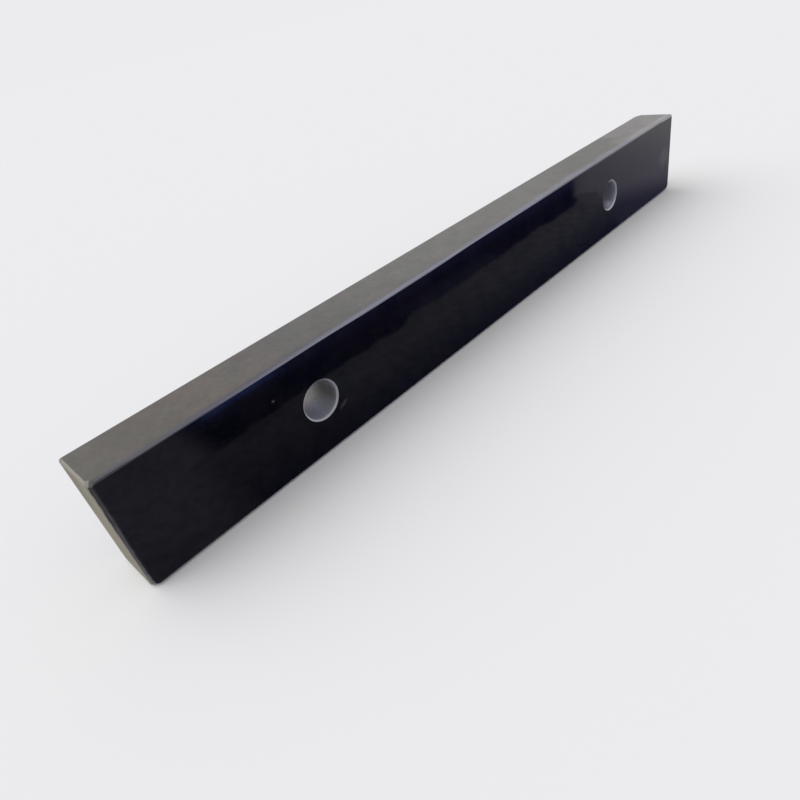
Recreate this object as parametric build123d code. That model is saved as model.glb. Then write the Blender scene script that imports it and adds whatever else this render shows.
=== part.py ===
from build123d import *
from itertools import combinations
import os

# Granite straight edge: one rectangular bar of black granite that stands on
# its lower narrow face. The upper and lower narrow faces are the working
# faces. Two round lifting holes go through the thickness, close to the
# support points where a long bar sags least.
# Sizes are in millimetres. The origin is at the middle of the lower working
# face. +X runs along the length, +Y through the thickness and +Z up.

# The bar
bar_length = 1000.0
bar_height = 120.0
bar_thickness = 60.0

# The ground chamfers, measured along the faces they cut
long_edge_chamfer = 3.0
end_upright_chamfer = 3.0
end_cross_chamfer = 2.0

# The hand-eased corners, where three chamfers meet
corner_round = 1.5

# The lifting holes
hole_diameter = 40.0
hole_rim_chamfer = 2.0
hole_end_distance = 210.0


def chamfered_slab(plane, width, height, edge_chamfer, depth):
    """A slab about the origin whose four edges along its depth are chamfered."""
    outline = Rectangle(width, height)
    outline = chamfer(outline.vertices(), edge_chamfer)
    return extrude(plane * outline, amount=depth / 2, both=True)


def is_ground_chamfer(face):
    """True for a face that is square to none of the bar's three directions."""
    normal = face.normal_at()
    return max(abs(normal.X), abs(normal.Y), abs(normal.Z)) < 0.99


def shared_edges(faces):
    """The edges that two of the faces have in common."""
    shared = ShapeList()
    for first, second in combinations(faces, 2):
        for edge in first.edges():
            if any(edge.is_same(other) for other in second.edges()):
                shared.append(edge)
    return shared


def make_blank():
    """The bar as ground: three crossed slabs leave a chamfer on all twelve edges."""
    along_length = chamfered_slab(
        Plane.YZ, bar_thickness, bar_height, long_edge_chamfer, bar_length
    )
    across_thickness = chamfered_slab(
        Plane.XZ, bar_length, bar_height, end_cross_chamfer, bar_thickness
    )
    upright = chamfered_slab(
        Plane.XY, bar_length, bar_thickness, end_upright_chamfer, bar_height
    )
    blank = along_length & across_thickness & upright
    return Pos(0, 0, bar_height / 2) * blank


def ease_corners(blank):
    """The eight corners, rubbed round where the chamfers meet."""
    chamfers = blank.faces().filter_by(is_ground_chamfer)
    return fillet(shared_edges(chamfers), corner_round)


def drill_lifting_holes(blank):
    """Two through holes at mid height, with both rims of each chamfered."""
    hole_radius = hole_diameter / 2
    hole_from_middle = bar_length / 2 - hole_end_distance
    for side in (-1, 1):
        centre = Pos(side * hole_from_middle, 0, bar_height / 2)
        drill = Rot(90, 0, 0) * Cylinder(hole_radius, bar_thickness)
        blank = blank - centre * drill
    bores = blank.faces().filter_by(GeomType.CYLINDER)
    bores = bores.filter_by(lambda face: abs(face.radius - hole_radius) < 0.001)
    rims = bores.edges().filter_by(GeomType.CIRCLE)
    return chamfer(rims, hole_rim_chamfer)


granite_bar = drill_lifting_holes(ease_corners(make_blank()))

os.makedirs("parts", exist_ok=True)
export_step(granite_bar, "parts/granite_bar.step")
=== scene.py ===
import math
import random

import bmesh
import bpy
from mathutils import Matrix, Vector, noise


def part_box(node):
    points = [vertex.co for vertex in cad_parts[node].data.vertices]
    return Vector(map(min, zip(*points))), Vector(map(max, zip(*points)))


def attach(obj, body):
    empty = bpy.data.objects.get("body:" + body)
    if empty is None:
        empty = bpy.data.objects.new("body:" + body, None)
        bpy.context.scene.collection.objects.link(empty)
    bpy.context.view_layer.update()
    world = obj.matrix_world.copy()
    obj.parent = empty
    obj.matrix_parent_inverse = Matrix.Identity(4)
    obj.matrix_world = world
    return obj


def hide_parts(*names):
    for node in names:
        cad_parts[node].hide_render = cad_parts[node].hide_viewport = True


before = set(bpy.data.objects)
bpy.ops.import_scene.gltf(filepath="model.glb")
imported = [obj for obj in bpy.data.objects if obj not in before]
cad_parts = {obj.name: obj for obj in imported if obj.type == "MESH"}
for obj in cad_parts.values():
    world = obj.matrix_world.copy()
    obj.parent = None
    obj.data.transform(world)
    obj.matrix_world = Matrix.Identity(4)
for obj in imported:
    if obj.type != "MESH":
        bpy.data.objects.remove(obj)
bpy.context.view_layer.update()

# Viewpoint
# The camera stands in front of the bar's near end, at arm's length, and looks
# down along it. It is turned a little about its own line of sight.
photo_width_pixels = 800
focal_length_pixels = 587.3
eye = Vector((-0.5376, -0.4471, 0.3655))
heading = math.radians(39.46)
downward_tilt = math.radians(34.23)
roll = math.radians(-13.31)

camera = bpy.data.objects.new("camera", bpy.data.cameras.new("camera"))
camera.data.lens = camera.data.sensor_width * focal_length_pixels / photo_width_pixels
camera.matrix_world = (
    Matrix.Translation(eye)
    @ Matrix.Rotation(-heading, 4, "Z")
    @ Matrix.Rotation(math.pi / 2 - downward_tilt, 4, "X")
    @ Matrix.Rotation(roll, 4, "Z")
)
bpy.context.scene.collection.objects.link(camera)
bpy.context.scene.camera = camera

# Granite bar, the stone
# Fine-grained black granite. It is black and mirror-like only where it is
# polished, on the two wide sides. Ground or lapped, the same stone is grey.
crystal_size = 0.0011
patch_size = 0.028
grain_waves_a_crystal = 0.6
refraction = 1.55


def add_node(tree, kind, inputs=None, **settings):
    """Adds a shader node. Each input is a value, or another node's output."""
    new = tree.nodes.new(kind)
    for name, value in settings.items():
        setattr(new, name, value)
    for name, value in (inputs or {}).items():
        if isinstance(value, bpy.types.NodeSocket):
            tree.links.new(value, new.inputs[name])
        else:
            new.inputs[name].default_value = value
    return new


def mix_colors(tree, share, first, second, blend="MIX"):
    """Puts the second colour over the first by the share, and gives the result."""
    mix = tree.nodes.new("ShaderNodeMix")
    mix.data_type = "RGBA"
    mix.blend_type = blend
    wanted = {"Factor_Float": share, "A_Color": first, "B_Color": second}
    for socket in mix.inputs:
        value = wanted.get(socket.identifier)
        if isinstance(value, bpy.types.NodeSocket):
            tree.links.new(value, socket)
        elif value is not None:
            socket.default_value = value
    return mix.outputs[2]


def map_range(tree, value, low, high, to_low=0.0, to_high=1.0):
    """Carries a value from one range to another, smoothly and with no overshoot."""
    inputs = {
        "Value": value,
        "From Min": low,
        "From Max": high,
        "To Min": to_low,
        "To Max": to_high,
    }
    mapped = add_node(tree, "ShaderNodeMapRange", inputs, interpolation_type="SMOOTHSTEP")
    return mapped.outputs["Result"]


def calculate(tree, operation, first, second=0.0):
    """Gives the result of one sum."""
    inputs = {0: first, 1: second}
    return add_node(tree, "ShaderNodeMath", inputs, operation=operation).outputs[0]


def both(tree, first, second):
    """Gives the share that two shares have in common."""
    return calculate(tree, "MULTIPLY", first, second)


def make_granite_grain():
    """The slow patches in the stone, its crystals, and how rough it feels."""
    group = bpy.data.node_groups.new("granite_grain", "ShaderNodeTree")
    for name, kind in (
        ("Stone", "NodeSocketColor"),
        ("Patch", "NodeSocketColor"),
        ("Crystal", "NodeSocketColor"),
        ("Crystal Share", "NodeSocketFloat"),
    ):
        group.interface.new_socket(name, in_out="INPUT", socket_type=kind)
    for name, kind in (
        ("Color", "NodeSocketColor"),
        ("Height", "NodeSocketFloat"),
    ):
        group.interface.new_socket(name, in_out="OUTPUT", socket_type=kind)
    given = group.nodes.new("NodeGroupInput").outputs
    place = add_node(group, "ShaderNodeTexCoord").outputs["Object"]

    slow = {"Vector": place, "Scale": 1 / patch_size, "Detail": 3.0, "Roughness": 0.5}
    patches = add_node(group, "ShaderNodeTexNoise", slow).outputs["Fac"]
    patch_share = map_range(group, patches, 0.38, 0.62)
    stone = mix_colors(group, patch_share, given["Stone"], given["Patch"])

    cells = {"Vector": place, "Scale": 1 / crystal_size}
    crystals = add_node(group, "ShaderNodeTexVoronoi", cells).outputs["Color"]
    chance = add_node(group, "ShaderNodeSeparateColor", {"Color": crystals}).outputs
    waves = grain_waves_a_crystal / crystal_size
    grain = {"Vector": place, "Scale": waves, "Detail": 4.0, "Roughness": 0.7}
    fine = add_node(group, "ShaderNodeTexNoise", grain).outputs["Fac"]
    glint = map_range(group, chance["Red"], 0.35, 1.0)
    blotch = map_range(group, fine, 0.42, 0.68)
    share = both(group, both(group, glint, blotch), given["Crystal Share"])

    taken = group.nodes.new("NodeGroupOutput").inputs
    group.links.new(mix_colors(group, share, stone, given["Crystal"]), taken["Color"])
    group.links.new(calculate(group, "ADD", fine, chance["Green"]), taken["Height"])
    return group


granite_grain = make_granite_grain()
finishes = {}


def make_finish(name, stone, patch, crystal, crystal_share, roughness, relief):
    """One finish of the stone. Relief is the depth of its grain, in metres."""
    material = bpy.data.materials.new(name)
    material.use_nodes = True
    tree = material.node_tree
    shader = tree.nodes["Principled BSDF"]
    shader.inputs["Roughness"].default_value = roughness
    shader.inputs["IOR"].default_value = refraction
    grain = add_node(tree, "ShaderNodeGroup", node_tree=granite_grain)
    grain.inputs["Stone"].default_value = (*stone, 1)
    grain.inputs["Patch"].default_value = (*patch, 1)
    grain.inputs["Crystal"].default_value = (*crystal, 1)
    grain.inputs["Crystal Share"].default_value = crystal_share
    tree.links.new(grain.outputs["Color"], shader.inputs["Base Color"])
    if relief > 0:
        felt = {"Height": grain.outputs["Height"], "Distance": relief}
        bump = add_node(tree, "ShaderNodeBump", felt)
        tree.links.new(bump.outputs["Normal"], shader.inputs["Normal"])
    finishes[name] = material
    return tree


# Granite bar, the polished sides
# The two wide sides are polished black. The front one has a pale speck and a
# faint brown streak beside its near hole, and a paler smudge near its far end.
speck = {
    "middle": (-0.3380, -0.030, 0.0901),
    "reach": (0.0022, 0.002, 0.0018),
    "turn": 0,
    "color": (0.066, 0.066, 0.062, 1),
}
streak = {
    "middle": (-0.2668, -0.030, 0.0408),
    "reach": (0.0092, 0.002, 0.0028),
    "turn": -29,
    "color": (0.036, 0.030, 0.034, 1),
}
smudge = {
    "middle": (0.4760, -0.030, 0.0600),
    "reach": (0.0240, 0.002, 0.0200),
    "turn": 0,
    "color": (0.038, 0.038, 0.035, 1),
}
mark_core = 0.3
clouds_a_metre = 140.0
frays_a_metre = 240.0
fray_depth = 0.0022
fray_starts = 0.4948
fray_ends = 0.4968
wider_grinding = 0.0017


def find_place(tree):
    """Gives the point's place on the bar, whole and as its x, y and z."""
    place = add_node(tree, "ShaderNodeTexCoord").outputs["Object"]
    axes = add_node(tree, "ShaderNodeSeparateXYZ", {"Vector": place}).outputs
    return place, axes["X"], axes["Y"], axes["Z"]


def find_noise(tree, place, waves, detail=2.0):
    """Gives a random value, about 0.5 in the middle, with so many waves a metre."""
    inputs = {"Vector": place, "Scale": waves, "Detail": detail}
    return add_node(tree, "ShaderNodeTexNoise", inputs).outputs["Fac"]


def roughen(tree, value, place, waves, depth, detail=2.0):
    """Makes a value waver at random, by up to half the depth either way."""
    wave = calculate(tree, "SUBTRACT", find_noise(tree, place, waves, detail), 0.5)
    return calculate(tree, "ADD", value, calculate(tree, "MULTIPLY", wave, depth))


def lay_over(tree, share, color, blend="MIX"):
    """Lays one more colour over a finish, as far as the share says."""
    base = tree.nodes["Principled BSDF"].inputs["Base Color"]
    tree.links.new(mix_colors(tree, share, base.links[0].from_socket, color, blend), base)


def lay_mark(tree, place, middle, reach, turn, color):
    """Lays a soft oval of colour over a wide side, turned by so many degrees."""
    inputs = {
        "Vector": place,
        "Location": middle,
        "Rotation": (0, math.radians(turn), 0),
        "Scale": reach,
    }
    mark = add_node(tree, "ShaderNodeMapping", inputs, vector_type="TEXTURE")
    inputs = {0: mark.outputs["Vector"]}
    away = add_node(tree, "ShaderNodeVectorMath", inputs, operation="LENGTH")
    lay_over(tree, map_range(tree, away.outputs["Value"], 1.0, mark_core), color)


tree = make_finish(
    "polished_side",
    stone=(0.0010, 0.0012, 0.0015),
    patch=(0.0038, 0.0031, 0.0040),
    crystal=(0.016, 0.016, 0.016),
    crystal_share=0.5,
    roughness=0.07,
    relief=0,
)
place, along, across, up = find_place(tree)
clouds = find_noise(tree, place, clouds_a_metre, 3.0)
clouds = map_range(tree, clouds, 0.50, 0.72, 0.0, 0.8)
lay_over(tree, clouds, (0.0036, 0.0046, 0.0044, 1))
frayed = calculate(tree, "ABSOLUTE", along)
frayed = roughen(tree, frayed, place, frays_a_metre, fray_depth)
frayed = map_range(tree, frayed, fray_starts, fray_ends)
frayed = both(tree, frayed, map_range(tree, up, 0.066, 0.085, 0.25, 0.8))
lay_over(tree, frayed, (0.032, 0.029, 0.034, 1))
for mark in (speck, streak, smudge):
    lay_mark(tree, place, **mark)
wider = both(tree, map_range(tree, along, -0.30, -0.19), map_range(tree, along, 0.0, -0.12))
ground_over = calculate(tree, "ADD", up, calculate(tree, "MULTIPLY", wider, wider_grinding))
ground_over = map_range(tree, ground_over, 0.11695, 0.1174)
lay_over(tree, ground_over, (0.240, 0.245, 0.305, 1))

# Granite bar, the working faces
# The upper and lower narrow faces are lapped flat. Lapping leaves them satin,
# mottled grey with a little brown. Along their length painted sheen is mixed
# into that tone: darker and browner towards the near end, paler at the far
# end. They are bluer along the front edge, darkest at the near end.
waves_a_metre = 26.0
far_end_wander = 0.15
far_end_slant = 0.70
front_strip_wander = 0.012
pink_patches_a_metre = 17.0
edge_tip_color = (0.009, 0.013, 0.025, 1)
edge_colors = (
    (-0.46, -0.36, (0.038, 0.042, 0.054, 1)),
    (-0.22, -0.08, (0.076, 0.081, 0.119, 1)),
    (-0.02, 0.18, (0.134, 0.132, 0.157, 1)),
    (0.30, 0.38, (0.198, 0.191, 0.206, 1)),
    (0.43, 0.48, (0.240, 0.234, 0.248, 1)),
)
mottles_a_metre = (42.0, 230.0)
mottled_paler = (1.12, 1.12, 1.12, 1)
mottled_darker = (0.88, 0.88, 0.88, 1)


def tint(tree, share, color):
    """Multiplies a finish by a colour, as far as the share says."""
    lay_over(tree, share, color, "MULTIPLY")


tree = make_finish(
    "lapped_face",
    stone=(0.090, 0.081, 0.073),
    patch=(0.079, 0.084, 0.071),
    crystal=(0.18, 0.18, 0.18),
    crystal_share=0.35,
    roughness=0.36,
    relief=0.00003,
)
place, along, across, up = find_place(tree)
# Painted sheen mixed with the stone's tone: darker and browner towards the near end, darker over
# the far half.
near_end_sheen_and_tone = map_range(tree, along, -0.12, -0.28)
tint(tree, near_end_sheen_and_tone, (0.74, 0.71, 0.75, 1))
brown_end = map_range(tree, along, -0.28, -0.42)
tint(tree, brown_end, (1.15, 0.96, 0.80, 1))
near_tip = map_range(tree, along, -0.38, -0.46)
tint(tree, near_tip, (0.74, 0.81, 0.81, 1))
far_half_sheen_and_tone = map_range(tree, along, 0.08, 0.26)
tint(tree, far_half_sheen_and_tone, (0.71, 0.71, 0.68, 1))
# Painted sheen at the far end: two paler steps behind a ragged, slanted line.
far_sheen_line = roughen(tree, along, place, waves_a_metre, far_end_wander)
slant = calculate(tree, "MULTIPLY", across, far_end_slant)
far_sheen_line = calculate(tree, "SUBTRACT", far_sheen_line, slant)
lay_over(tree, map_range(tree, far_sheen_line, 0.335, 0.380), (0.120, 0.112, 0.106, 1))
lay_over(tree, map_range(tree, far_sheen_line, 0.43, 0.47), (0.132, 0.127, 0.119, 1))
pink = find_noise(tree, place, pink_patches_a_metre)
pink = map_range(tree, pink, 0.50, 0.62, 0.0, 0.6)
tint(tree, pink, (1.0, 0.91, 0.93, 1))
# A bluer strip along the front edge, near black at the near end and paler towards the far end,
# with a wavering border.
edge_color = edge_tip_color
for begins, ends, color in edge_colors:
    edge_color = mix_colors(tree, map_range(tree, along, begins, ends), edge_color, color)
front_strip = roughen(tree, across, place, waves_a_metre, front_strip_wander)
wider = map_range(tree, along, 0.31, 0.42, 0.0, -0.004)
front_strip = calculate(tree, "ADD", front_strip, wider)
narrower = map_range(tree, along, 0.14, 0.02, 0.0, 0.004)
front_strip = calculate(tree, "ADD", front_strip, narrower)
lay_over(tree, map_range(tree, front_strip, -0.018, -0.027), edge_color)
for mottles in mottles_a_metre:
    mottled = map_range(tree, find_noise(tree, place, mottles, 3.0), 0.30, 0.70)
    tint(tree, 1.0, mix_colors(tree, mottled, mottled_paler, mottled_darker))

# Granite bar, the ends and the block
# The real bar is one block, sawn to size. Its ends are only ground, which
# leaves the stone pale and a little brown.
bar_low, bar_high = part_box("granite_bar")
bar_size = bar_high - bar_low
bar_middle = (bar_high + bar_low) / 2
facing = 0.9

tree = make_finish(
    "ground_end",
    stone=(0.300, 0.243, 0.190),
    patch=(0.272, 0.270, 0.190),
    crystal=(0.44, 0.42, 0.38),
    crystal_share=0.35,
    roughness=0.60,
    relief=0.00005,
)
place, along, across, up = find_place(tree)
back_top = both(tree, map_range(tree, up, 0.064, 0.080), map_range(tree, across, -0.012, 0.0))
tint(tree, back_top, (0.85, 0.85, 0.87, 1))


def slot_number(finish):
    """Gives the number of a finish's material slot."""
    return list(finishes).index(finish)


def give_finish(face, finish):
    """Gives one face of a shape its finish."""
    face.material_index = slot_number(finish)


block = bmesh.new()
bmesh.ops.create_cube(block, size=1.0)
bmesh.ops.scale(block, vec=bar_size, verts=block.verts)
bmesh.ops.translate(block, vec=bar_middle, verts=block.verts)
block.normal_update()
for face in block.faces:
    if abs(face.normal.x) > facing:
        give_finish(face, "ground_end")
    elif abs(face.normal.z) > facing:
        give_finish(face, "lapped_face")
    else:
        give_finish(face, "polished_side")

# Granite bar, the ground edges
# All twelve edges are ground off by hand at 45 degrees, so their looks differ.
# The points are rubbed down, some much further than others and two not at all,
# and last every edge is eased.
long_edge_chamfer = 0.003
end_upright_chamfer = 0.003
end_cross_chamfer = 0.002
rubbed_point = Vector((0.0068, 0.0068, 0.0068))
other_points = {
    (1, -1, -1): (Vector((0.016, 0.009, 0.0065)), Vector((0.008, 0.009, 0.012))),
    (1, -1, 1): (),
    (1, 1, 1): (Vector((0.018, 0.009, 0.006)),),
    (-1, -1, -1): (Vector((0.0048, 0.0048, 0.030)), Vector((0.009, 0.009, 0.007))),
    (-1, -1, 1): (Vector((0.0119, 0.0071, 0.0052)),),
    (-1, 1, 1): (),
}
edge_ease = 0.0008
edge_ease_steps = 3
sharp_angle = math.radians(15)
near_end_sheen_and_tone_tints = (
    (-0.20, -0.41, (0.48, 0.465, 0.515, 1)),
    (-0.38, -0.45, (0.94, 0.95, 0.84, 1)),
    (-0.482, -0.494, (0.85, 0.85, 0.85, 1)),
)
half_polished_color = (0.006, 0.006, 0.009, 1)
upright_mottles_a_metre = 190.0
upright_waves_a_metre = 110.0
upright_wave_depth = 0.0020
upright_lower_colors = (
    (0.066, 0.050, (0.085, 0.082, 0.086, 1)),
    (0.045, 0.010, (0.125, 0.120, 0.130, 1)),
    (0.022, 0.002, (0.165, 0.158, 0.168, 1)),
)


def between(tree, value, comes, goes):
    """Gives a share that comes in over one range of a value and goes over another."""
    going = map_range(tree, value, *goes)
    return calculate(tree, "SUBTRACT", map_range(tree, value, *comes), going)


tree = make_finish(
    "ground_long_edge",
    stone=(0.250, 0.253, 0.330),
    patch=(0.236, 0.241, 0.315),
    crystal=(0.40, 0.40, 0.45),
    crystal_share=0.35,
    roughness=0.42,
    relief=0.00004,
)
place, along, across, up = find_place(tree)
# Painted sheen mixed with the stone's tone: darker towards the near end, paler over a stretch near
# the middle and at the far end.
for begins, ends, color in near_end_sheen_and_tone_tints:
    tint(tree, map_range(tree, along, begins, ends), color)
paler_end = map_range(tree, along, 0.325, 0.415)
lay_over(tree, paler_end, (0.310, 0.298, 0.326, 1))
paler_stretch = between(tree, along, (-0.21, -0.15), (-0.06, 0.0))
tint(tree, paler_stretch, (1.08, 1.08, 1.06, 1))
duller_top = between(tree, along, (0.08, -0.10), (-0.33, -0.42, 0.0, 0.7))
duller_top = both(tree, duller_top, map_range(tree, up, 0.1176, 0.1198))
tint(tree, duller_top, (0.635, 0.60, 0.585, 1))
yellower_top = map_range(tree, up, 0.1172, 0.1198)
tint(tree, yellower_top, (1.00, 1.00, 0.91, 1))
half_polished = between(tree, along, (0.04, 0.20), (0.452, 0.470))
half_polished = both(tree, half_polished, map_range(tree, up, 0.1187, 0.1172, 0.0, 0.8))
lay_over(tree, half_polished, half_polished_color)
near_line = map_range(tree, along, -0.455, -0.475, 0.0, -0.0005)
near_line = calculate(tree, "ADD", up, near_line)
near_line = map_range(tree, near_line, 0.1178, 0.1174, 0.0, 0.9)
near_line = both(tree, near_line, map_range(tree, along, -0.35, -0.42))
lay_over(tree, near_line, half_polished_color)
# Painted shade on the lower long edges, which face down, towards the near end.
painted_shade_underneath = both(tree, map_range(tree, up, 0.061, 0.059), map_range(tree, along, -0.42, -0.25))
tint(tree, painted_shade_underneath, (0.20, 0.20, 0.20, 1))

tree = make_finish(
    "ground_upright_edge",
    stone=(0.062, 0.061, 0.062),
    patch=(0.076, 0.072, 0.074),
    crystal=(0.13, 0.13, 0.13),
    crystal_share=0.35,
    roughness=0.40,
    relief=0.00003,
)
place, along, across, up = find_place(tree)
mottled = find_noise(tree, place, upright_mottles_a_metre)
mottled = map_range(tree, mottled, 0.46, 0.62, 0.0, 0.8)
tint(tree, mottled, (0.55, 0.54, 0.54, 1))
for begins, ends, color in upright_lower_colors:
    lay_over(tree, map_range(tree, up, begins, ends), color)
outward = calculate(tree, "ABSOLUTE", across)
outward = roughen(tree, outward, place, upright_waves_a_metre, upright_wave_depth)
dark_line = both(tree, map_range(tree, outward, 0.0294, 0.0286), map_range(tree, up, 0.066, 0.085))
lay_over(tree, dark_line, (0.034, 0.034, 0.033, 1))
darker_top = map_range(tree, up, 0.080, 0.092)
tint(tree, darker_top, (0.74, 0.74, 0.74, 1))
narrower = both(tree, map_range(tree, outward, 0.0291, 0.0299), map_range(tree, up, 0.072, 0.058))
lay_over(tree, narrower, (0.012, 0.012, 0.014, 1))
pale_inside = map_range(tree, up, 0.080, 0.090, 0.0, 0.0007)
pale_inside = calculate(tree, "SUBTRACT", outward, pale_inside)
lay_over(tree, map_range(tree, pale_inside, 0.0278, 0.0269), (0.270, 0.245, 0.200, 1))

tree = make_finish(
    "ground_cross_edge",
    stone=(0.252, 0.206, 0.182),
    patch=(0.236, 0.216, 0.182),
    crystal=(0.40, 0.38, 0.35),
    crystal_share=0.35,
    roughness=0.55,
    relief=0.00004,
)
place, along, across, up = find_place(tree)
duller_back = map_range(tree, across, 0.019, 0.028)
tint(tree, duller_back, (0.72, 0.74, 0.78, 1))
beside_point = calculate(tree, "SUBTRACT", along, across)
beside_point = map_range(tree, beside_point, -0.4701, -0.4691)
beside_point = both(tree, beside_point, map_range(tree, along, 0.1, -0.1))
lay_over(tree, beside_point, (0.055, 0.052, 0.054, 1))


def grind_flat(block, point, outward, finish):
    """Takes off what lies beyond a plane and gives the new flat its finish."""
    cut = bmesh.ops.bisect_plane(
        block,
        geom=block.verts[:] + block.edges[:] + block.faces[:],
        plane_co=point,
        plane_no=outward,
        clear_outer=True,
    )
    outline = [part for part in cut["geom_cut"] if isinstance(part, bmesh.types.BMEdge)]
    for face in bmesh.ops.contextual_create(block, geom=outline)["faces"]:
        give_finish(face, finish)


def grind_edges(block, first_axis, second_axis, width, finish):
    """Grinds the four edges between two pairs of the block's faces."""
    for first_side in (-1, 1):
        for second_side in (-1, 1):
            outward = Vector((0, 0, 0))
            outward[first_axis] = first_side
            outward[second_axis] = second_side
            point = bar_middle + outward * bar_size / 2
            point[first_axis] -= first_side * width
            grind_flat(block, point, outward, finish)


def rub_down_point(block, side, reach):
    """Takes a corner's point off, as far along the three edges as reach says."""
    corner = bar_middle + side * bar_size / 2
    outward = Vector((side.x / reach.x, side.y / reach.y, side.z / reach.z))
    along_length = Vector((side.x * reach.x, 0, 0))
    finish = "ground_upright_edge" if side.y < 0 and side.z < 0 else "ground_cross_edge"
    grind_flat(block, corner - along_length, outward, finish)


def find_sharp_edges(block):
    """Finds the edges where two flats meet at a plain angle."""
    block.normal_update()
    return [edge for edge in block.edges if edge.calc_face_angle() > sharp_angle]


def ease_edges(block, edges, width, steps):
    """Rounds the edges given, as a rub with a fine stone does."""
    bmesh.ops.bevel(
        block,
        geom=edges,
        offset=width,
        offset_type="OFFSET",
        segments=steps,
        profile=0.5,
        affect="EDGES",
        clamp_overlap=True,
        material=-1,
    )


def add_finishes(mesh):
    """Gives a mesh the finishes made so far that it doesn't have yet."""
    for material in list(finishes.values())[len(mesh.materials):]:
        mesh.materials.append(material)


grind_edges(block, 1, 2, long_edge_chamfer, "ground_long_edge")
grind_edges(block, 0, 1, end_upright_chamfer, "ground_upright_edge")
grind_edges(block, 0, 2, end_cross_chamfer, "ground_cross_edge")
for x_side in (-1, 1):
    for y_side in (-1, 1):
        for z_side in (-1, 1):
            reaches = other_points.get((x_side, y_side, z_side), (rubbed_point,))
            for reach in reaches:
                rub_down_point(block, Vector((x_side, y_side, z_side)), reach)
ease_edges(block, find_sharp_edges(block), edge_ease, edge_ease_steps)
bmesh.ops.recalc_face_normals(block, faces=block.faces)

bar_mesh = bpy.data.meshes.new("straight_edge")
add_finishes(bar_mesh)
block.to_mesh(bar_mesh)
block.free()
granite_bar = bpy.data.objects.new("straight_edge", bar_mesh)
bpy.context.scene.collection.objects.link(granite_bar)

# Granite bar, the lifting holes
# Two plain holes are core-drilled through the thickness at mid height. The
# drill leaves the bores dull. Light and shade are painted into the bores and
# their rims: paler below, at the mouths and towards the back, darker where
# little light reaches, and the far bore bluer. Their rims are ground off at
# 45 degrees.
hole_radius = 0.020
rim_width = 0.0017
rim_depth = 0.0017
rim_ease = 0.0003
rim_ease_steps = 2
hole_places = (-0.290, 0.290)
run_out = 0.003
round_steps = 128
seam_distance = 1e-6
side_on = 0.1
leftward_slant = 1.2
pits_a_metre = 420.0
# Painted light on the rims' lower parts, near and far.
painted_light_rim_low_near = (0.395, 0.398, 0.455, 1)
painted_light_rim_low_far = (0.540, 0.545, 0.620, 1)

tree = make_finish(
    "drilled_bore",
    stone=(0.148, 0.146, 0.160),
    patch=(0.148, 0.143, 0.148),
    crystal=(0.25, 0.25, 0.25),
    crystal_share=0.35,
    roughness=0.60,
    relief=0.00006,
)
place, along, across, up = find_place(tree)
at_far_hole = map_range(tree, along, -0.10, 0.10)
at_near_hole = map_range(tree, along, 0.10, -0.10)
# Painted light: the far bore is lit bluer and paler throughout.
tint(tree, at_far_hole, (1.09, 1.11, 1.29, 1))
# Painted light on the bores' lower walls, more on the far one.
painted_light_below = map_range(tree, up, 0.053, 0.041)
lay_over(tree, painted_light_below, (0.278, 0.290, 0.382, 1))
painted_light_far_floor = both(tree, map_range(tree, up, 0.048, 0.041), at_far_hole)
lay_over(tree, painted_light_far_floor, (0.600, 0.600, 0.745, 1))
# Painted light deeper in, from the back opening, and at the front mouths.
painted_light_deeper_in = map_range(tree, across, -0.006, 0.012, 0.0, 0.9)
lay_over(tree, painted_light_deeper_in, (0.352, 0.336, 0.328, 1))
painted_light_mouth_share = map_range(tree, along, -0.10, 0.10, 0.5, 0.8)
painted_light_mouth = both(tree, map_range(tree, across, -0.0205, -0.0280), painted_light_mouth_share)
lay_over(tree, painted_light_mouth, (0.300, 0.304, 0.388, 1))
# Painted shade on the near bore's right wall, and painted light at its top.
painted_shade_near_wall = both(tree, map_range(tree, along, -0.286, -0.276), at_near_hole)
tint(tree, painted_shade_near_wall, (0.86, 0.86, 0.80, 1))
painted_light_near_wall_top = both(tree, map_range(tree, up, 0.057, 0.066), at_near_hole)
tint(tree, painted_light_near_wall_top, (1.52, 1.52, 1.58, 1))
# Painted shade low in the far bore, to the left and deeper in; painted light at its lower front
# mouth, and painted shade a little further in.
leftward = calculate(tree, "MULTIPLY", across, leftward_slant)
leftward = calculate(tree, "SUBTRACT", along, leftward)
far_shade = both(tree, map_range(tree, leftward, 0.325, 0.319), at_far_hole)
far_shade = both(tree, far_shade, map_range(tree, up, 0.050, 0.044))
tint(tree, far_shade, (0.58, 0.60, 0.60, 1))
far_lower = both(tree, map_range(tree, up, 0.060, 0.052), at_far_hole)
painted_light_far_lip = both(tree, map_range(tree, across, -0.018, -0.025), far_lower)
tint(tree, painted_light_far_lip, (1.17, 1.17, 1.20, 1))
painted_shade_far_depth = both(tree, map_range(tree, across, -0.020, -0.012), far_lower)
tint(tree, painted_shade_far_depth, (0.86, 0.85, 0.83, 1))
pits = map_range(tree, find_noise(tree, place, pits_a_metre), 0.42, 0.58)
tint(tree, pits, (0.84, 0.84, 0.84, 1))

tree = make_finish(
    "ground_rim",
    stone=(0.325, 0.327, 0.375),
    patch=(0.312, 0.316, 0.358),
    crystal=(0.48, 0.48, 0.50),
    crystal_share=0.35,
    roughness=0.50,
    relief=0.00004,
)
place, along, across, up = find_place(tree)
at_far_hole = map_range(tree, along, -0.10, 0.10)
at_near_hole = map_range(tree, along, 0.10, -0.10)
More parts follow.
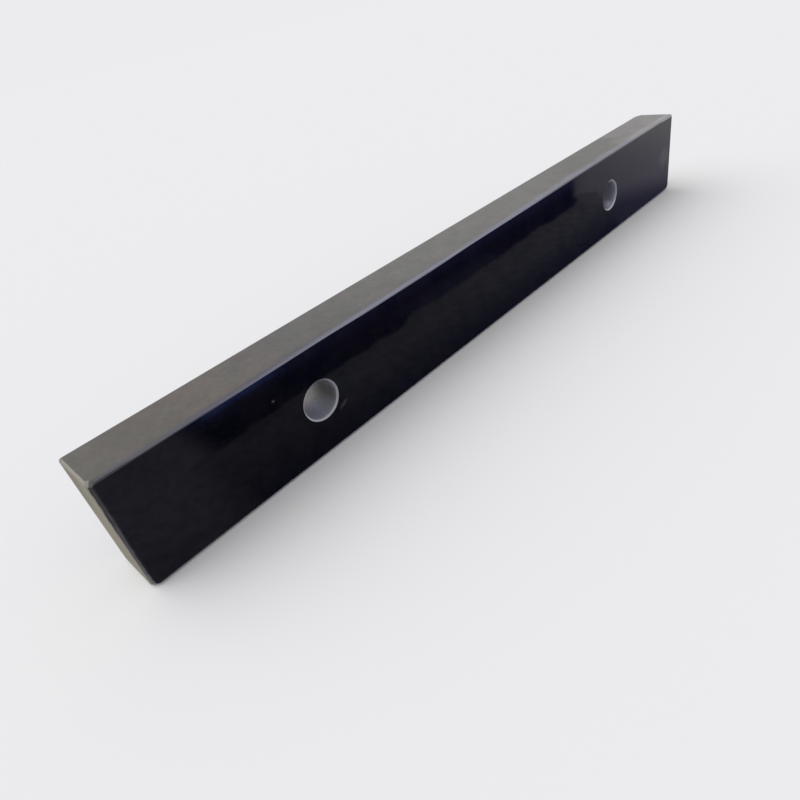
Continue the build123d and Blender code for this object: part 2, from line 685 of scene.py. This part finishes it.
# Painted light and shade on the rims: paler below, where they face up, darker at the near rim's
# top, paler at the near rim's left and at the far rim's top.
painted_light_rim_low_color = mix_colors(tree, at_far_hole, painted_light_rim_low_near, painted_light_rim_low_far)
lay_over(tree, map_range(tree, up, 0.056, 0.041), painted_light_rim_low_color)
painted_shade_near_rim_top = both(tree, map_range(tree, up, 0.072, 0.081), at_near_hole)
lay_over(tree, painted_shade_near_rim_top, (0.185, 0.182, 0.210, 1))
painted_light_near_rim_left = map_range(tree, along, -0.297, -0.309)
lay_over(tree, painted_light_near_rim_left, (0.500, 0.500, 0.550, 1))
painted_light_far_rim_top = both(tree, map_range(tree, up, 0.0780, 0.0812), at_far_hole)
tint(tree, painted_light_far_rim_top, (1.60, 1.60, 1.60, 1))


def cut_away(piece, cutter_shape):
    """Cuts a shape out of the piece. The new faces keep the shape's finishes."""
    cutter_mesh = bpy.data.meshes.new("cutter")
    add_finishes(cutter_mesh)
    add_finishes(piece.data)
    cutter_shape.to_mesh(cutter_mesh)
    cutter_shape.free()
    cutter = bpy.data.objects.new("cutter", cutter_mesh)
    bpy.context.scene.collection.objects.link(cutter)
    cut = piece.modifiers.new("cut", "BOOLEAN")
    cut.solver = "EXACT"
    cut.object = cutter
    whole = piece.data
    finished = piece.evaluated_get(bpy.context.evaluated_depsgraph_get())
    piece.data = bpy.data.meshes.new_from_object(finished)
    piece.modifiers.clear()
    bpy.data.meshes.remove(whole)
    bpy.data.objects.remove(cutter)
    bpy.data.meshes.remove(cutter_mesh)


drills = bmesh.new()
half_thickness = bar_size.y / 2
rim_slope = rim_width / rim_depth
run_out_radius = hole_radius + rim_width + run_out * rim_slope
drill_outline = (
    (0.0, -half_thickness - run_out),
    (run_out_radius, -half_thickness - run_out),
    (hole_radius, -half_thickness + rim_depth),
    (hole_radius, half_thickness - rim_depth),
    (run_out_radius, half_thickness + run_out),
    (0.0, half_thickness + run_out),
)
for hole_place in hole_places:
    axis_point = Vector((hole_place, bar_middle.y, bar_middle.z))
    outline = [
        drills.verts.new(axis_point + Vector((radius, depth, 0)))
        for radius, depth in drill_outline
    ]
    lines = [drills.edges.new(pair) for pair in zip(outline, outline[1:])]
    bmesh.ops.spin(
        drills,
        geom=outline + lines,
        cent=axis_point,
        axis=(0, 1, 0),
        angle=2 * math.pi,
        steps=round_steps,
        use_merge=True,
    )
bmesh.ops.remove_doubles(drills, verts=drills.verts, dist=seam_distance)
bmesh.ops.recalc_face_normals(drills, faces=drills.faces)
for face in drills.faces:
    if abs(face.normal.y) < side_on:
        give_finish(face, "drilled_bore")
    else:
        give_finish(face, "ground_rim")
cut_away(granite_bar, drills)

block = bmesh.new()
block.from_mesh(granite_bar.data)
rim_slot = slot_number("ground_rim")
rims = [
    edge
    for edge in find_sharp_edges(block)
    if any(face.material_index == rim_slot for face in edge.link_faces)
]
ease_edges(block, rims, rim_ease, rim_ease_steps)
bmesh.ops.recalc_face_normals(block, faces=block.faces)
block.to_mesh(granite_bar.data)
block.free()

# Granite bar, the nicks
# Granite doesn't dent, it chips: small flakes have gone from the ground edges,
# and the stone in them is paler and rough.
nick_seed = 11
front_nicks = (-0.1495, 0.3545, 0.4328)
front_nick_size = 0.0010
front_nick_shift = Vector((0, -0.0003, 0.0003))
other_edges = ((-1, -1), (1, -1), (1, 1))
nicks_an_edge = 9
nicked_length = 0.96
nick_sizes = (0.0004, 0.0010)
nick_shift = 0.4
nick_spread = (0.1, 0.9)
share_on_wide_side = 0.6
flake_lengths = (1.0, 1.7)
flake_widths = (0.8, 1.2)
flake_turns = (-0.5, 0.5)
lump_depth = 0.35
lump_waves = 1.3
lumps_apart = 900
weld_distance = 2e-6

make_finish(
    "broken_stone",
    stone=(0.30, 0.30, 0.32),
    patch=(0.26, 0.26, 0.28),
    crystal=(0.45, 0.45, 0.47),
    crystal_share=0.5,
    roughness=0.75,
    relief=0.00010,
)
dice = random.Random(nick_seed)


def add_flake(flakes, middle, size):
    """Adds the shape of one lost flake, a lumpy ball a little longer than wide."""
    ball = bmesh.ops.create_icosphere(flakes, subdivisions=2, radius=1.0)["verts"]
    length = dice.uniform(*flake_lengths)
    width = dice.uniform(*flake_widths)
    height = dice.uniform(*flake_widths)
    bmesh.ops.scale(flakes, vec=Vector((length, width, height)) * size, verts=ball)
    for vert in ball:
        lump = noise.noise(vert.co / size * lump_waves + middle * lumps_apart)
        vert.co += vert.co * lump * lump_depth
    bmesh.ops.rotate(
        flakes,
        verts=ball,
        cent=(0, 0, 0),
        matrix=Matrix.Rotation(dice.uniform(*flake_turns), 3, "Y"),
    )
    bmesh.ops.translate(flakes, vec=middle, verts=ball)


flakes = bmesh.new()
for nick_place in front_nicks:
    edge = Vector((nick_place, bar_low.y, bar_high.z - long_edge_chamfer))
    add_flake(flakes, edge + front_nick_shift, front_nick_size)
for y_side, z_side in other_edges:
    for count in range(nicks_an_edge):
        size = dice.uniform(*nick_sizes)
        edge = bar_middle + Vector((0, y_side, z_side)) * bar_size / 2
        edge.x = nicked_length * ((count + dice.uniform(*nick_spread)) / nicks_an_edge - 0.5)
        if dice.random() < share_on_wide_side:
            edge.z -= z_side * long_edge_chamfer
        else:
            edge.y -= y_side * long_edge_chamfer
        outward = Vector((0, y_side, z_side)).normalized()
        add_flake(flakes, edge + outward * size * nick_shift, size)
for face in flakes.faces:
    give_finish(face, "broken_stone")
bmesh.ops.recalc_face_normals(flakes, faces=flakes.faces)
cut_away(granite_bar, flakes)

block = bmesh.new()
block.from_mesh(granite_bar.data)
bmesh.ops.remove_doubles(block, verts=block.verts, dist=weld_distance)
bmesh.ops.dissolve_degenerate(block, edges=block.edges, dist=weld_distance)
for face in block.faces:
    face.smooth = True
block.to_mesh(granite_bar.data)
block.free()
granite_bar.data.name = "straight_edge"
weighted = granite_bar.modifiers.new("weighted_normals", "WEIGHTED_NORMAL")
weighted.keep_sharp = True
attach(granite_bar, "root")
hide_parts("granite_bar")

# Floor
# A wide pale sheet that runs on out of sight. The polished sides don't mirror
# it: to mirrored rays only, it glows with a painted reflection of a workshop's
# dark bench, with painted shadow at the bar's foot, a blue streak, and paler
# floor past the bar's ends.
floor_reach = 30.0
backdrop_color = (0.839, 0.839, 0.855, 1)
bench_foot_painted_shadow = (0.045, 0.045, 0.105, 1)
bench_top = (0.150, 0.152, 0.195, 1)
bench_far_tint = (1.30, 1.23, 1.22, 1)
bench_edge = 0.150
bench_edge_blur = 0.003
bench_edge_wander = 0.034
bench_edge_waves_a_metre = 15.0
bench_corner = 0.028
bench_near_step = 0.005
bench_set_back = 0.007
past_bench_near = (0.012, 0.013, 0.064, 1)
past_bench_far = (0.060, 0.062, 0.200, 1)
past_bench_paler = (0.052, 0.053, 0.125, 1)
near_half_tint = (0.74, 0.74, 0.76, 1)
painted_blue_reflection = (0.125, 0.185, 0.670, 1)
near_end_foot_painted_shadow = (0.150, 0.145, 0.200, 1)
near_end_top = (0.205, 0.195, 0.265, 1)
mirrored_mottles_a_metre = 70.0
mottled_tint = (0.74, 0.76, 0.80, 1)
far_end_near = (0.315, 0.306, 0.395, 1)
far_end_far = (0.640, 0.615, 0.635, 1)
far_foot_painted_shadow_tint = (0.30, 0.30, 0.44, 1)
far_foot_starts = 0.470
far_foot_slant = 0.60
far_end_starts = 0.285
far_end_bends = ((0.0, 1.25), (0.145, -1.85), (0.178, 2.35))

floor_mesh = bpy.data.meshes.new("floor")
floor_shape = bmesh.new()
bmesh.ops.create_grid(floor_shape, x_segments=1, y_segments=1, size=floor_reach)
floor_shape.to_mesh(floor_mesh)
floor_shape.free()
floor = bpy.data.objects.new("floor", floor_mesh)
bpy.context.scene.collection.objects.link(floor)

paper = bpy.data.materials.new("floor_paper")
paper.use_nodes = True
tree = paper.node_tree
tree.nodes.clear()
place, along, across, up = find_place(tree)
out = calculate(tree, "ABSOLUTE", across)

# The painted bench, from the bar's foot outwards, with painted shadow at the foot
outwards = map_range(tree, out, 0.03, 0.12)
bench = mix_colors(tree, outwards, bench_foot_painted_shadow, bench_top)
bench_far_end = map_range(tree, along, 0.385, 0.425)
bench = mix_colors(tree, bench_far_end, bench, bench_far_tint, "MULTIPLY")

# The bench's wandering edge, and what lies past it
to_edge = roughen(tree, out, place, bench_edge_waves_a_metre, bench_edge_wander, 4.0)
cut_corner = map_range(tree, along, 0.412, 0.450, 0.0, bench_corner)
to_edge = calculate(tree, "SUBTRACT", to_edge, cut_corner)
near_step = map_range(tree, along, -0.27, -0.32, 0.0, bench_near_step)
to_edge = calculate(tree, "ADD", to_edge, near_step)
set_back = between(tree, along, (-0.17, -0.13), (-0.07, -0.03))
set_back = calculate(tree, "MULTIPLY", set_back, bench_set_back)
to_edge = calculate(tree, "ADD", to_edge, set_back)
past_edge = map_range(tree, to_edge, bench_edge - bench_edge_blur, bench_edge + bench_edge_blur)
further_out = map_range(tree, out, 0.185, 0.225)
past_bench = mix_colors(tree, further_out, past_bench_near, past_bench_far)
paler = between(tree, along, (-0.06, -0.02), (0.15, 0.19))
paler = both(tree, paler, map_range(tree, out, 0.200, 0.165))
past_bench = mix_colors(tree, paler, past_bench, past_bench_paler)
mirrored = mix_colors(tree, past_edge, bench, past_bench)
near_half = map_range(tree, along, -0.19, -0.29)
mirrored = mix_colors(tree, near_half, mirrored, near_half_tint, "MULTIPLY")

# The painted blue reflection, the paler floor past the near end with painted shadow at its foot,
# and the mottling
painted_blue_reflection_share = between(tree, along, (-0.356, -0.330), (-0.25, -0.20))
painted_blue_reflection_share = both(tree, painted_blue_reflection_share, map_range(tree, across, -0.2105, -0.220))
mirrored = mix_colors(tree, painted_blue_reflection_share, mirrored, painted_blue_reflection)
near_end = mix_colors(tree, outwards, near_end_foot_painted_shadow, near_end_top)
near_outer = both(tree, map_range(tree, along, -0.352, -0.392), past_edge)
near_share = map_range(tree, along, -0.370, -0.425)
near_share = calculate(tree, "MAXIMUM", near_share, near_outer)
on_painted_blue_reflection = map_range(tree, painted_blue_reflection_share, 0.0, 1.0)
near_share = calculate(tree, "SUBTRACT", near_share, on_painted_blue_reflection)
mirrored = mix_colors(tree, near_share, mirrored, near_end)
mottled = find_noise(tree, place, mirrored_mottles_a_metre, 3.0)
mottled = map_range(tree, mottled, 0.42, 0.60, 0.0, 0.8)
mirrored = mix_colors(tree, mottled, mirrored, mottled_tint, "MULTIPLY")

# The paler floor past the far end, from a line with bends, with painted shadow at the bar's foot
far_end = mix_colors(tree, map_range(tree, along, 0.45, 1.15), far_end_near, far_end_far)
slanted = calculate(tree, "SUBTRACT", along, far_foot_starts)
slanted = calculate(tree, "MULTIPLY", slanted, far_foot_slant)
slanted = calculate(tree, "ADD", out, slanted)
far_foot_painted_shadow = map_range(tree, slanted, 0.160, 0.020)
far_end = mix_colors(tree, far_foot_painted_shadow, far_end, far_foot_painted_shadow_tint, "MULTIPLY")
past_line = calculate(tree, "SUBTRACT", along, far_end_starts)
for bend, turn in far_end_bends:
    past_bend = calculate(tree, "MAXIMUM", calculate(tree, "SUBTRACT", out, bend), 0.0)
    past_bend = calculate(tree, "MULTIPLY", past_bend, turn)
    past_line = calculate(tree, "SUBTRACT", past_line, past_bend)
far_share = map_range(tree, past_line, -0.010, 0.010, 0.0, 0.80)
well_past = map_range(tree, past_line, 0.0, 0.060, 0.0, 0.20)
far_share = calculate(tree, "ADD", far_share, well_past)
mirrored = mix_colors(tree, far_share, mirrored, far_end)
out_of_reach = map_range(tree, out, 0.5, 1.6)
mirrored = mix_colors(tree, out_of_reach, mirrored, backdrop_color)

# The paper itself, and the painted reflection that only mirrored rays see, glowing though it is no
# lamp
seen = add_node(tree, "ShaderNodeBsdfDiffuse", {"Color": backdrop_color})
painted_reflection_glow = add_node(tree, "ShaderNodeEmission", {"Color": mirrored})
rays = add_node(tree, "ShaderNodeLightPath").outputs
choice = {0: rays["Is Glossy Ray"], 1: seen.outputs["BSDF"], 2: painted_reflection_glow.outputs["Emission"]}
chosen = add_node(tree, "ShaderNodeMixShader", choice).outputs["Shader"]
add_node(tree, "ShaderNodeOutputMaterial", {"Surface": chosen})
paper.cycles.emission_sampling = "NONE"
floor_mesh.materials.append(paper)

# Light
# An even white studio, with one large soft lamp high up, behind the bar's near
# end and to its left.
room_strength = 0.60
lamp_strength = 1.65
lamp_spread = math.radians(75)
lamp_from = Vector((-0.45, 0.45, 0.77))

world = bpy.data.worlds.new("studio")
world.use_nodes = True
tree = world.node_tree
tree.nodes.clear()
rays = add_node(tree, "ShaderNodeLightPath").outputs
in_sight = calculate(tree, "MAXIMUM", rays["Is Camera Ray"], rays["Is Glossy Ray"])
in_sight = calculate(tree, "MAXIMUM", in_sight, rays["Is Transmission Ray"])
white = {"Color": (1, 1, 1, 1), "Strength": room_strength}
room = add_node(tree, "ShaderNodeBackground", white).outputs["Background"]
pale = {"Color": backdrop_color, "Strength": 1.0}
backdrop = add_node(tree, "ShaderNodeBackground", pale).outputs["Background"]
choice = {0: in_sight, 1: room, 2: backdrop}
chosen = add_node(tree, "ShaderNodeMixShader", choice).outputs["Shader"]
add_node(tree, "ShaderNodeOutputWorld", {"Surface": chosen})
bpy.context.scene.world = world

lamp = bpy.data.objects.new("lamp", bpy.data.lights.new("lamp", "SUN"))
lamp.data.energy = lamp_strength
lamp.data.angle = lamp_spread
lamp.rotation_euler = lamp_from.to_track_quat("Z", "Y").to_euler()
bpy.context.scene.collection.objects.link(lamp)

bpy.context.scene.view_settings.view_transform = "Standard"
